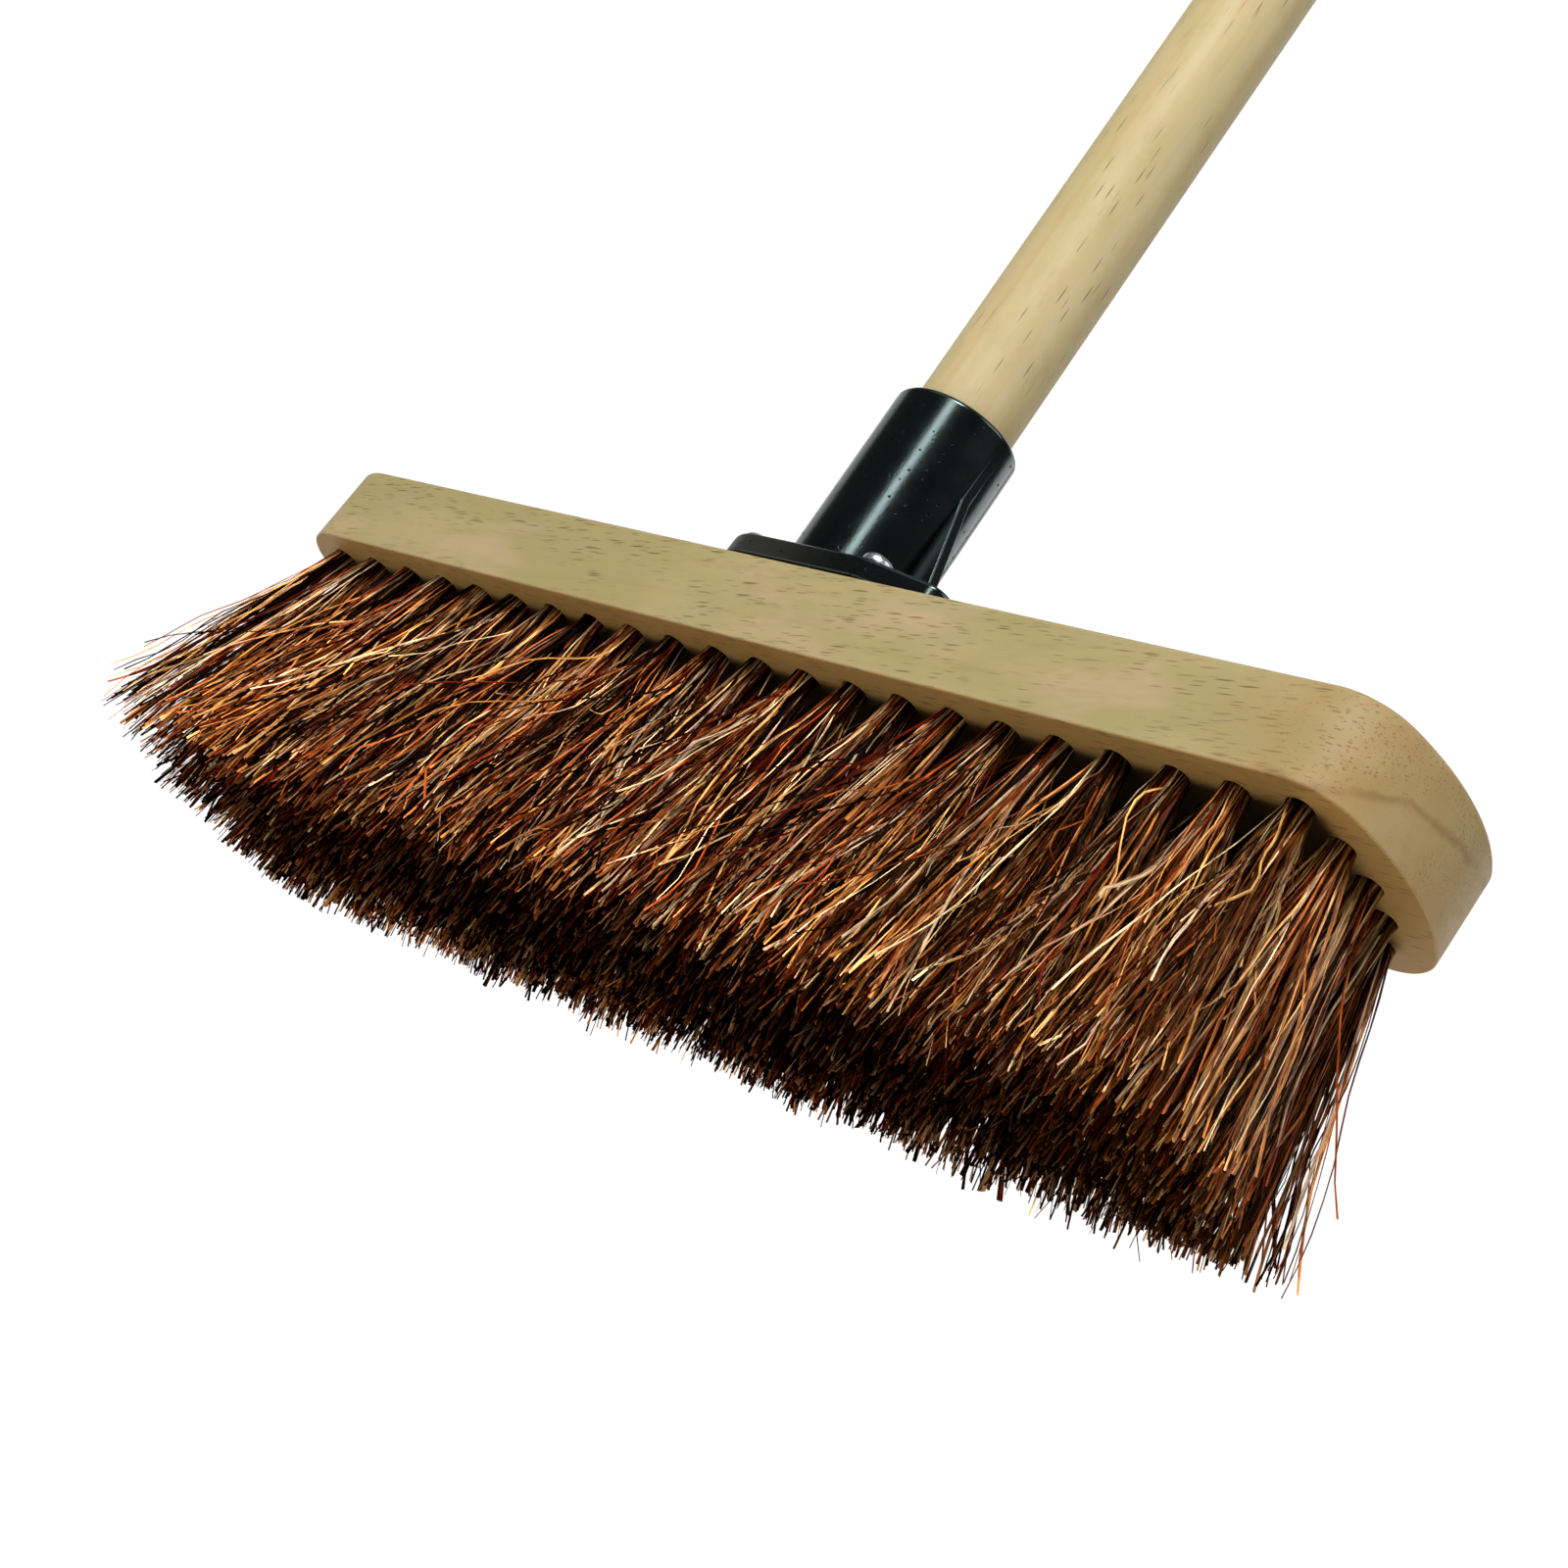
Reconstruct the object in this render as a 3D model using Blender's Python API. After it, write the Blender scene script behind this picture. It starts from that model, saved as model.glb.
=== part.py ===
"""Push broom: a wooden stock drilled for five rows of stiff fibre tufts, a moulded handle socket held by four
screws, and a round wooden handle pushed into the socket.

Metres, +Z up. X runs along the stock and Y across it. The origin is on the plane of the bristle tips, which is
the floor when the broom stands on its bristles, straight below the middle of the handle socket.
"""

import math

import bmesh
import bpy
from mathutils import Matrix, Vector

# Stock (the wooden head block), and where its middle is from the socket's
STOCK_X = 0.006
STOCK_Y = 0.002
STOCK_LENGTH = 0.305
STOCK_WIDTH = 0.0545
STOCK_THICKNESS = 0.020
STOCK_CORNER_RADIUS = 0.014
STOCK_END_RADIUS = 0.047
STOCK_EASED_EDGE = 0.0015
ARC_STEPS = 8

# Tufts: rows across the stock as (distance from the stock's middle, half length of the row)
BRISTLE_LENGTH = 0.063
TUFT_ROWS = ((-0.019, 0.1370), (-0.010, 0.1412), (0.0, 0.1425), (0.010, 0.1412), (0.019, 0.1370))
COLUMN_COUNT = 22
TUFT_RADIUS = 0.0025
HOLE_RADIUS = 0.0029
HOLE_DEPTH = 0.012
HOLE_END_GAP = 0.0006
HOLE_SIDES = 6
FAN_ALONG = 1.17
FAN_ACROSS = 1.74
MERGE_DEPTH = 0.012
COLUMN_GAP = 0.0009
ROOT_OVERLAP = 0.003

# Handle socket (one plastic moulding); its axis stands on the top of the stock and leans forward a little
SOCKET_LEAN = math.radians(3.2)
FLANGE_THICKNESS = 0.005
FLANGE_EASED_EDGE = 0.0010
TUBE_RADIUS = 0.0146
TUBE_HEIGHT = 0.0551
TUBE_RIM_ROUND = 0.0013
BORE_CLEARANCE = 0.00035
BORE_FLOOR = 0.0042
TUBE_SIDES = 48
RIB_THICKNESS = 0.003
RIB_HEIGHT = 0.0385
RIB_REACH = 0.0095
# The flange outline is the band drawn round these discs: (x, y, radius) from the socket's axis
FLANGE_DISCS = (
    (-0.0160, 0.0, 0.0090),
    (-0.0055, -0.0138, 0.0110),
    (-0.0055, 0.0138, 0.0110),
    (0.0250, -0.0138, 0.0110),
    (0.0250, 0.0138, 0.0110),
    (0.0398, -0.0162, 0.0048),
    (0.0398, 0.0162, 0.0048),
)

# Flange screws, from the socket's axis
SCREW_PLACES = {
    "socket_screw_front_right": (0.026, -0.0203),
    "socket_screw_back_right": (0.026, 0.0203),
    "socket_screw_front_left": (-0.010, -0.0185),
    "socket_screw_back_left": (-0.010, 0.0185),
}
SCREW_SHANK_RADIUS = 0.0015
SCREW_HEAD_RADIUS = 0.0035
SCREW_HEAD_HEIGHT = 0.0027
SCREW_LENGTH = 0.0112
SCREW_POINT = 0.003
SCREW_SIDES = 18
PILOT_DEPTH = 0.0067
RECESS_LENGTH = 0.0038
RECESS_WIDTH = 0.0008
RECESS_DEPTH = 0.0014

# Handle
HANDLE_RADIUS = 0.01135
HANDLE_LENGTH = 1.2
HANDLE_CHAMFER = 0.002
HANDLE_DOME = 0.005
HANDLE_SIDES = 48

SEAT_GAP = 0.0003
STOCK_BOTTOM = BRISTLE_LENGTH
STOCK_TOP = STOCK_BOTTOM + STOCK_THICKNESS
FLANGE_TOP = STOCK_TOP + SEAT_GAP + FLANGE_THICKNESS
STOCK_FRAME = Matrix.Translation((STOCK_X, STOCK_Y, 0.0))
SOCKET_FRAME = Matrix.Translation((0.0, 0.0, STOCK_TOP)) @ Matrix.Rotation(SOCKET_LEAN, 4, "X")

PALE_WOOD = ("pale_wood", (0.62, 0.46, 0.25), 0.55, 0.0)
HANDLE_WOOD = ("handle_wood", (0.70, 0.54, 0.32), 0.55, 0.0)
BLACK_PLASTIC = ("black_plastic", (0.010, 0.012, 0.013), 0.28, 0.0)
ZINC_STEEL = ("zinc_steel", (0.62, 0.62, 0.63), 0.30, 1.0)
BASSINE_FIBRE = ("bassine_fibre", (0.20, 0.085, 0.03), 0.60, 0.0)


def clear_scene():
    for old in list(bpy.data.objects):
        bpy.data.objects.remove(old, do_unlink=True)


def material(finish):
    name, colour, roughness, metallic = finish
    found = bpy.data.materials.get(name)
    if found:
        return found
    made = bpy.data.materials.new(name)
    made.use_nodes = True
    shader = made.node_tree.nodes["Principled BSDF"]
    shader.inputs["Base Color"].default_value = (*colour, 1.0)
    shader.inputs["Roughness"].default_value = roughness
    shader.inputs["Metallic"].default_value = metallic
    made.diffuse_color = (*colour, 1.0)
    return made


def add_object(name, mesh_builder, finish, place=None, smooth=True):
    bmesh.ops.recalc_face_normals(mesh_builder, faces=mesh_builder.faces)
    mesh = bpy.data.meshes.new(name)
    mesh_builder.to_mesh(mesh)
    mesh_builder.free()
    if smooth:
        mesh.shade_smooth()
        mesh.set_sharp_from_angle(angle=math.radians(35))
    made = bpy.data.objects.new(name, mesh)
    bpy.context.scene.collection.objects.link(made)
    made.data.materials.append(material(finish))
    if place is not None:
        made.matrix_world = place
    return made


def as_tool(tool):
    tool.hide_render = True
    tool.display_type = "WIRE"
    return tool


def combine(target, tool, operation):
    step = target.modifiers.new(f"{operation.lower()} {tool.name}", "BOOLEAN")
    step.operation = operation
    step.solver = "EXACT"
    step.object = as_tool(tool)


def ease_edges(target, width, segments, angle):
    step = target.modifiers.new("eased edges", "BEVEL")
    step.width = width
    step.segments = segments
    step.limit_method = "ANGLE"
    step.angle_limit = angle


def prism(outline, low, high):
    """A straight-sided solid with the given outline, from one height to another."""
    built = bmesh.new()
    floor = built.faces.new([built.verts.new((x, y, low)) for x, y in outline])
    grown = bmesh.ops.extrude_face_region(built, geom=[floor])
    top = [item for item in grown["geom"] if isinstance(item, bmesh.types.BMVert)]
    bmesh.ops.translate(built, verts=top, vec=(0.0, 0.0, high - low))
    return built


def lathe(profile, sides):
    """A solid turned round Z from (radius, height) points; the first and last lie on the axis."""
    built = bmesh.new()
    ends = [built.verts.new((0.0, 0.0, profile[i][1])) for i in (0, -1)]
    rings = []
    for radius, height in profile[1:-1]:
        turn = [2 * math.pi * k / sides for k in range(sides)]
        rings.append([built.verts.new((radius * math.cos(t), radius * math.sin(t), height)) for t in turn])
    for k in range(sides):
        following = (k + 1) % sides
        built.faces.new((ends[0], rings[0][following], rings[0][k]))
        built.faces.new((ends[1], rings[-1][k], rings[-1][following]))
        for lower, upper in zip(rings, rings[1:]):
            built.faces.new((lower[k], lower[following], upper[following], upper[k]))
    return built


def rod(built, foot, top, radius, sides):
    """Adds a closed straight rod between two points."""
    along = top - foot
    turn = Vector((0.0, 0.0, 1.0)).rotation_difference(along).to_matrix().to_4x4()
    middle = Matrix.Translation((foot + top) / 2)
    bmesh.ops.create_cone(
        built, cap_ends=True, segments=sides, radius1=radius, radius2=radius, depth=along.length,
        matrix=middle @ turn,
    )


def arc(centre, radius, start, end, steps):
    turns = [start + (end - start) * k / steps for k in range(steps + 1)]
    return [(centre[0] + radius * math.cos(t), centre[1] + radius * math.sin(t)) for t in turns]


# ---------------------------------------------------------------- stock

def stock_outline():
    """Straight long sides, with each end a shallow arc that runs into two round corners."""
    half_length = STOCK_LENGTH / 2
    corner_y = STOCK_WIDTH / 2 - STOCK_CORNER_RADIUS
    end_x = half_length - STOCK_END_RADIUS
    reach = STOCK_END_RADIUS - STOCK_CORNER_RADIUS
    corner_x = end_x + math.sqrt(reach**2 - corner_y**2)
    meet = math.atan2(corner_y, corner_x - end_x)
    right = arc((corner_x, -corner_y), STOCK_CORNER_RADIUS, -math.pi / 2, -meet, ARC_STEPS)
    right += arc((end_x, 0.0), STOCK_END_RADIUS, -meet, meet, ARC_STEPS)[1:-1]
    right += arc((corner_x, corner_y), STOCK_CORNER_RADIUS, meet, math.pi / 2, ARC_STEPS)
    return right + [(-x, -y) for x, y in right]


def fan(height):
    """How far the tufts have spread at a height: factors along and across the stock."""
    down = (STOCK_BOTTOM - height) / BRISTLE_LENGTH
    return 1 + (FAN_ALONG - 1) * down, 1 + (FAN_ACROSS - 1) * down


def tuft_point(column, row, height):
    """A point on a tuft's centre line; above the underside it is inside the stock."""
    across, half_row = TUFT_ROWS[row]
    share = 2 * column / (COLUMN_COUNT - 1) - 1
    spread_x, spread_y = fan(height)
    return Vector((share * half_row * spread_x, across * spread_y, height))


def tuft_rods(columns, radius, foot_height, depth):
    """Round rods along the tufts' centre lines, ending at a depth inside the stock."""
    built = bmesh.new()
    for column in columns:
        for row in range(len(TUFT_ROWS)):
            mouth = tuft_point(column, row, STOCK_BOTTOM)
            inward = (mouth - tuft_point(column, row, 0.0)).normalized()
            rod(built, tuft_point(column, row, foot_height), mouth + inward * depth, radius, HOLE_SIDES)
    return built


def screw_points():
    return {name: Vector((x, y, FLANGE_TOP)) for name, (x, y) in SCREW_PLACES.items()}


def make_stock():
    stock = add_object("stock", prism(stock_outline(), STOCK_BOTTOM, STOCK_TOP), PALE_WOOD, STOCK_FRAME)
    ease_edges(stock, STOCK_EASED_EDGE, 3, math.radians(60))
    drill = tuft_rods(range(COLUMN_COUNT), HOLE_RADIUS, STOCK_BOTTOM - 0.004, HOLE_DEPTH)
    combine(stock, add_object("tuft_drill", drill, PALE_WOOD, STOCK_FRAME, smooth=False), "DIFFERENCE")
    pilots = bmesh.new()
    for place in screw_points().values():
        top = Vector((place.x, place.y, STOCK_TOP + 0.002))
        bottom = Vector((place.x, place.y, STOCK_TOP - PILOT_DEPTH))
        rod(pilots, bottom, top, SCREW_SHANK_RADIUS + SEAT_GAP, SCREW_SIDES)
    combine(stock, add_object("pilot_drill", pilots, PALE_WOOD, smooth=False), "DIFFERENCE")


# ---------------------------------------------------------------- tufts

def column_slab(column):
    """The spread fibres of one column of tufts, as a block that fans out to the bristle tips."""
    first, last = TUFT_ROWS[0], TUFT_ROWS[-1]
    stations = [(first[0] - TUFT_RADIUS, first[1]), *TUFT_ROWS, (last[0] + TUFT_RADIUS, last[1])]
    share = 2 * column / (COLUMN_COUNT - 1) - 1
    built = bmesh.new()
    rails = {}
    for level, height in (("tips", 0.0), ("neck", STOCK_BOTTOM - MERGE_DEPTH)):
        spread_x, spread_y = fan(height)
        for side in (-1, 1):
            rail = []
            for across, half_row in stations:
                pitch = 2 * half_row / (COLUMN_COUNT - 1) * spread_x
                x = share * half_row * spread_x + side * (pitch - COLUMN_GAP) / 2
                rail.append(built.verts.new((x, across * spread_y, height)))
            rails[level, side] = rail
    loop = [rails["tips", -1], rails["tips", 1], rails["neck", 1], rails["neck", -1]]
    for one, other in zip(loop, loop[1:] + loop[:1]):
        for k in range(len(stations) - 1):
            built.faces.new((one[k], other[k], other[k + 1], one[k + 1]))
    built.faces.new([rail[0] for rail in loop])
    built.faces.new([rail[-1] for rail in reversed(loop)])
    return built


def make_tufts():
    for column in range(COLUMN_COUNT):
        name = f"tuft_column_{column + 1:02d}"
        block = add_object(name, column_slab(column), BASSINE_FIBRE, STOCK_FRAME, smooth=False)
        foot = STOCK_BOTTOM - MERGE_DEPTH - ROOT_OVERLAP
        roots = tuft_rods([column], TUFT_RADIUS, foot, HOLE_DEPTH - HOLE_END_GAP)
        combine(block, add_object(f"{name}_roots", roots, BASSINE_FIBRE, STOCK_FRAME, smooth=False), "UNION")


# ---------------------------------------------------------------- socket

def flange_outline():
    """The outer boundary of the flange discs and of the straight lines that touch them."""
    points = []
    for x, y, radius in FLANGE_DISCS:
        points += arc((x, y), radius, 0.0, 2 * math.pi, 32)[:-1]
    points = sorted(set((round(x, 7), round(y, 7)) for x, y in points))

    def half(ordered):
        chain = []
        for point in ordered:
            while len(chain) > 1:
                (ax, ay), (bx, by) = chain[-2], chain[-1]
                if (bx - ax) * (point[1] - ay) - (by - ay) * (point[0] - ax) > 1e-9:
                    break
                chain.pop()
            chain.append(point)
        return chain[:-1]

    return half(points) + half(points[::-1])


def tube_blank():
    """The tube's outer body before boring, with a rounded outer rim."""
    profile = [(0.0, 0.0025), (TUBE_RADIUS, 0.0025)]
    for k in range(5):
        turn = math.pi / 2 * k / 4
        radius = TUBE_RADIUS - TUBE_RIM_ROUND * (1 - math.cos(turn))
        profile.append((radius, TUBE_HEIGHT - TUBE_RIM_ROUND * (1 - math.sin(turn))))
    profile.append((0.0, TUBE_HEIGHT))
    return lathe(profile, TUBE_SIDES)


def rib_blank(side):
    """A triangular stiffening rib from the flange up the side of the tube."""
    foot = 0.0025
    inner = TUBE_RADIUS - 0.0015
    slope = RIB_REACH / (RIB_HEIGHT - FLANGE_THICKNESS)
    reach_at_foot = TUBE_RADIUS + slope * (RIB_HEIGHT - foot)
    built = bmesh.new()
    corners = [(inner, foot), (reach_at_foot, foot), (TUBE_RADIUS - 0.0003, RIB_HEIGHT + 0.001),
               (inner, RIB_HEIGHT + 0.001)]
    half = RIB_THICKNESS / 2
    near = [built.verts.new((side * x, -half, z)) for x, z in corners]
    far = [built.verts.new((side * x, half, z)) for x, z in corners]
    built.faces.new(near)
    built.faces.new(far[::-1])
    for k in range(4):
        following = (k + 1) % 4
        built.faces.new((near[k], far[k], far[following], near[following]))
    return built


def make_socket():
    low = STOCK_TOP + SEAT_GAP
    socket = add_object("handle_socket", prism(flange_outline(), low, FLANGE_TOP), BLACK_PLASTIC)
    ease_edges(socket, FLANGE_EASED_EDGE, 3, math.radians(60))
    tube = add_object("tube_blank", tube_blank(), BLACK_PLASTIC, SOCKET_FRAME)
    combine(socket, tube, "UNION")
    for label, side in (("right", 1), ("left", -1)):
        rib = add_object(f"rib_{label}", rib_blank(side), BLACK_PLASTIC, SOCKET_FRAME, smooth=False)
        combine(socket, rib, "UNION")
    bore = bmesh.new()
    bore_radius = HANDLE_RADIUS + BORE_CLEARANCE
    rod(bore, Vector((0, 0, BORE_FLOOR)), Vector((0, 0, TUBE_HEIGHT + 0.005)), bore_radius, TUBE_SIDES)
    combine(socket, add_object("bore_cutter", bore, BLACK_PLASTIC, SOCKET_FRAME), "DIFFERENCE")
    holes = bmesh.new()
    for place in screw_points().values():
        down = Vector((0.0, 0.0, FLANGE_THICKNESS + 0.002))
        up = Vector((0.0, 0.0, 0.003))
        rod(holes, place - down, place + up, SCREW_SHANK_RADIUS + 2 * SEAT_GAP, SCREW_SIDES)
    combine(socket, add_object("screw_hole_cutter", holes, BLACK_PLASTIC, smooth=False), "DIFFERENCE")


# ---------------------------------------------------------------- screws

def screw_body():
    """A pan-head wood screw standing on the origin by the underside of its head."""
    profile = [(0.0, -SCREW_LENGTH), (0.0003, -SCREW_LENGTH + 0.0002)]
    profile.append((SCREW_SHANK_RADIUS, -SCREW_LENGTH + SCREW_POINT))
    profile += [(SCREW_SHANK_RADIUS, 0.0), (SCREW_HEAD_RADIUS, 0.0)]
    wall = 0.0007
    for k in range(4):
        turn = math.pi / 2 * k / 4
        rise = wall + (SCREW_HEAD_HEIGHT - wall) * math.sin(turn)
        profile.append((SCREW_HEAD_RADIUS * math.cos(turn), rise))
    profile.append((0.0, SCREW_HEAD_HEIGHT))
    return lathe(profile, SCREW_SIDES)


def cross_recess():
    """A plus-shaped cutter for the driver recess."""
    long, short = RECESS_LENGTH / 2, RECESS_WIDTH / 2
    quarter = [(long, -short), (long, short), (short, short)]
    outline = []
    for k in range(4):
        spin = Matrix.Rotation(k * math.pi / 2, 2)
        outline += [tuple(spin @ Vector(point)) for point in quarter]
    return prism(outline, SCREW_HEAD_HEIGHT - RECESS_DEPTH, SCREW_HEAD_HEIGHT + 0.001)


def make_screws():
    for turn, (name, place) in enumerate(screw_points().items()):
        seat = Matrix.Translation(place + Vector((0.0, 0.0, SEAT_GAP)))
        seat = seat @ Matrix.Rotation(math.radians(20 + 35 * turn), 4, "Z")
        screw = add_object(name, screw_body(), ZINC_STEEL, seat)
        cutter = add_object(f"{name}_recess", cross_recess(), ZINC_STEEL, seat, smooth=False)
        combine(screw, cutter, "DIFFERENCE")


# ---------------------------------------------------------------- handle

def make_handle():
    low = BORE_FLOOR + SEAT_GAP
    high = low + HANDLE_LENGTH
    profile = [(0.0, low), (HANDLE_RADIUS - HANDLE_CHAMFER / 2, low), (HANDLE_RADIUS, low + HANDLE_CHAMFER)]
    for k in range(4):
        turn = math.pi / 2 * k / 4
        radius = HANDLE_RADIUS - HANDLE_DOME * (1 - math.cos(turn))
        profile.append((radius, high - HANDLE_DOME * (1 - math.sin(turn))))
    profile += [(HANDLE_RADIUS - HANDLE_DOME, high), (0.0, high)]
    add_object("handle", lathe(profile, HANDLE_SIDES), HANDLE_WOOD, SOCKET_FRAME)


clear_scene()
make_stock()
make_tufts()
make_socket()
make_screws()
make_handle()
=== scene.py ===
"""The looks of a push broom: fanned stiff fibres, pale sanded wood, a black moulded socket and its screws.

Metres, +Z up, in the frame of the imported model: X runs along the stock, and the bristle tips are at Z = 0.
"""

import math

import bmesh
import bpy
import numpy as np
from mathutils import Matrix, Vector


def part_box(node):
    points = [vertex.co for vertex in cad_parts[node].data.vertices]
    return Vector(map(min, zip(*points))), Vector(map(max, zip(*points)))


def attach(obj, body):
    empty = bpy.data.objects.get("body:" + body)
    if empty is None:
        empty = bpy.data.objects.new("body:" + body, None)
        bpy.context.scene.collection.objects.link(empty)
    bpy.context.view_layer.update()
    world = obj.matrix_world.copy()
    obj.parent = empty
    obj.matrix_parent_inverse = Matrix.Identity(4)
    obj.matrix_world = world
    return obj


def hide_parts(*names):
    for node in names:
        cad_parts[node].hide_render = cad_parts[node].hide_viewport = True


# Stock
STOCK_CORNER_RADIUS = 0.014
STOCK_END_RADIUS = 0.047
STOCK_TOP_ROUND = 0.0014
STOCK_BOTTOM_ROUND = 0.0005
OUTLINE_STEPS = 20
EDGE_STEPS = 5
HOLE_RADIUS = 0.0029
HOLE_DEPTH = 0.010
HOLE_SIDES = 20
# How far a drill stands out of the stock, and the share of a tuft's lean along the stock that it takes
DRILL_CLEARANCE = 0.004
DRILL_LEAN_SHARE = 0.6

# The grain of the stock rises a little towards one end
GRAIN_TURN = (0.0, math.radians(-7.0), 0.0)

# Tufts: rows across the stock as (distance from the middle, half length of the row)
TUFT_ROWS = ((-0.019, 0.1370), (-0.010, 0.1412), (0.0, 0.1425), (0.010, 0.1412), (0.019, 0.1370))
COLUMN_COUNT = 22
# Lean along the stock, as (place along the stock, degrees)
LEAN_ALONG = (
    (-0.140, -14.0),
    (-0.130, -11.5),
    (-0.110, -8.0),
    (-0.090, -5.0),
    (-0.050, 3.0),
    (0.000, 3.5),
    (0.050, 1.5),
    (0.080, 4.0),
    (0.110, 7.5),
    (0.130, 10.5),
    (0.140, 12.0),
)
# Share of the lean along the right end that each row takes
RIGHT_END = 0.118
RIGHT_END_SHARES = (1.0, 0.80, 0.62, 0.42, 0.30)
# Lean across the stock, as (place along the stock, degrees for each row)
LEAN_ACROSS = (
    (-0.1425, (-7.0, -2.0, 5.0, 10.0, 14.0)),
    (-0.1050, (-9.0, -5.0, 0.0, 5.0, 9.5)),
    (0.0900, (-9.0, -5.0, 0.0, 4.0, 8.5)),
    (0.1425, (-12.0, -10.0, -7.0, -4.0, -1.0)),
)
TUFT_ROOT_RADIUS = 0.0026
# Fibres stand in a tuft like seeds in a sunflower: the turn from one to the next, and their scatter
SPIRAL_TURN = 2.39996
ROOT_SCATTER = 0.00012

# Fibres: a tuft has some in clumps that lean together, and a few loose ones. Tuples go by row, front to back
FIBRES_PER_TUFT = (116, 98, 98, 114, 134)
STRAYS_PER_TUFT = 5
CLUMPS_PER_TUFT = 10
FIBRE_RINGS = 12
FIBRE_SIDES = 5
FIBRE_SUNK = 0.003
FIBRE_LENGTH = 0.0665
# Spread of the free lengths, unevenness of the trimmed tips, and how high over the floor fibres stay
LENGTH_SPREAD = 0.0012
TRIM_SPREAD = 0.0013
FLOOR_CLEARANCES = (0.0005, 0.0015)
# Cuts off the full length: each clump's largest, then the share of short fibres and the range of their cuts
CLUMP_CUTS = (0.006, 0.004, 0.003, 0.002, 0.0015)
SHORT_SHARES = (0.55, 0.35, 0.25, 0.15, 0.12)
SHORTEST_CUT = 0.001
LONGEST_CUTS = (0.030, 0.024, 0.020, 0.014, 0.012)
# Lean in degrees, along and across the stock: how tufts, clumps and fibres vary, and how a tuft fans out
TUFT_LEAN_SPREAD = (2.4, 1.6)
CLUMP_LEAN_SPREAD = (2.7, 2.0)
FIBRE_LEAN_SPREAD = (3.0, 2.2)
FAN_LEAN = (4.5, 3.6)
SPREAD_LIMIT = 10.0
# Share of the fibres that lean and wander more than the rest, and how much more
WILD_SHARE = 0.14
WILD_FACTOR = 2.0
LEAN_LIMITS = (-19.0, 17.0)
# Bends: the size of the sideways wander, and the slope of a kink, calmer in the end tufts
WANDER_SIZE = 0.00066
STRAY_WANDER = 0.0014
STRAY_WANDER_AT_END = 0.0004
KINK_SLOPE = 0.19
KINK_SLOPE_AT_END = 0.08
KINKED_SHARE = 0.42
# Thickness: the radii, how common each is, the rows' factors, and the loose fibres' radius
FIBRE_RADII = (0.00009, 0.00013, 0.00018, 0.00024, 0.00032)
RADIUS_SHARES = (0.20, 0.32, 0.27, 0.15, 0.06)
ROW_THICKNESS = (1.0, 1.10, 1.20, 1.25, 1.25)
STRAY_RADIUS = 0.00009
THICK_RADIUS = 0.00022
# Colours of single fibres, as shown on a screen, each with its share of the fibres
# The large near-black share partly paints the shade between fibres, and the palest colours partly paint
# highlights
FIBRE_COLOURS = (
    ((16, 3, 1), 0.46),
    ((92, 25, 5), 0.16),
    ((152, 70, 20), 0.12),
    ((206, 130, 56), 0.09),
    ((240, 182, 106), 0.09),
    ((254, 222, 172), 0.07),
    ((150, 110, 62), 0.01),
)
STRAY_COLOUR = (224, 190, 148)
# Colour of the painted golden light on the last columns
GOLDEN_LIGHT_COLOUR = (176, 108, 46)
# Painted shade by depth inside the bristles, with the share of fibres painted as catching light at any depth,
# the tint of the painted shade on the inner ones, and painted light and shade along the columns as (column,
# factor)
DEPTH_PAINTED_SHADE = (1.0, 0.38, 0.16)
CAUGHT_SHARE = 0.12
CAUGHT_TONE = 1.1
INNER_SHADE_TINT = (1.15, 0.84, 0.74)
COLUMN_PAINTED_LIGHT = ((0, 1.50), (6, 1.34), (14, 1.24), (21, 0.80))
# Painted golden light on the last columns, from this column on, with less of it deeper inside
GOLDEN_LIGHT_FIRST_COLUMN = 15
GOLDEN_LIGHT_STRENGTH = 0.60
GOLDEN_LIGHT_BY_DEPTH = (1.0, 0.55, 0.35)
# How far the loosest fibres may stand out from the middle of the stock: along, behind and in front
BRISTLE_LIMIT_X = 0.176
BRISTLE_LIMIT_Y = 0.048
BRISTLE_LIMIT_FRONT = 0.078

# Socket, from the point where its axis meets the top of the stock
SOCKET_LEAN = math.radians(3.2)
FLANGE_THICKNESS = 0.005
FLANGE_TOP_ROUND = 0.0011
FLANGE_DISCS = (
    (-0.0160, 0.0, 0.0090),
    (-0.0055, -0.0138, 0.0110),
    (-0.0055, 0.0138, 0.0110),
    (0.0250, -0.0138, 0.0110),
    (0.0250, 0.0138, 0.0110),
    (0.0398, -0.0162, 0.0048),
    (0.0398, 0.0162, 0.0048),
)
TUBE_RADIUS = 0.0146
TUBE_HEIGHT = 0.0551
TUBE_RIM_ROUND = 0.0013
TUBE_FOOT_ROUND = 0.0012
TUBE_SIDES = 128
BORE_RADIUS = 0.0117
BORE_FLOOR = 0.0042
RIB_THICKNESS = 0.003
RIB_HEIGHT = 0.0385
RIB_REACH = 0.0095

# Screws
SCREW_PLACES = {
    "socket_screw_front_right": (0.026, -0.0203),
    "socket_screw_back_right": (0.026, 0.0203),
    "socket_screw_front_left": (-0.010, -0.0185),
    "socket_screw_back_left": (-0.010, 0.0185),
}
SCREW_HEAD_RADIUS = 0.0035
SCREW_HEAD_HEIGHT = 0.0027
SCREW_SHANK_RADIUS = 0.0015
SCREW_LENGTH = 0.0112
RECESS_LENGTH = 0.0038
RECESS_WIDTH = 0.0008
RECESS_DEPTH = 0.0014

# Handle
HANDLE_RADIUS = 0.01135
HANDLE_DOME = 0.006
HANDLE_CHAMFER = 0.001
HANDLE_SIDES = 128
SEAT_GAP = 0.0003

# Floor
FLOOR_RADIUS = 30.0
FLOOR_DROP = 0.0004

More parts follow.
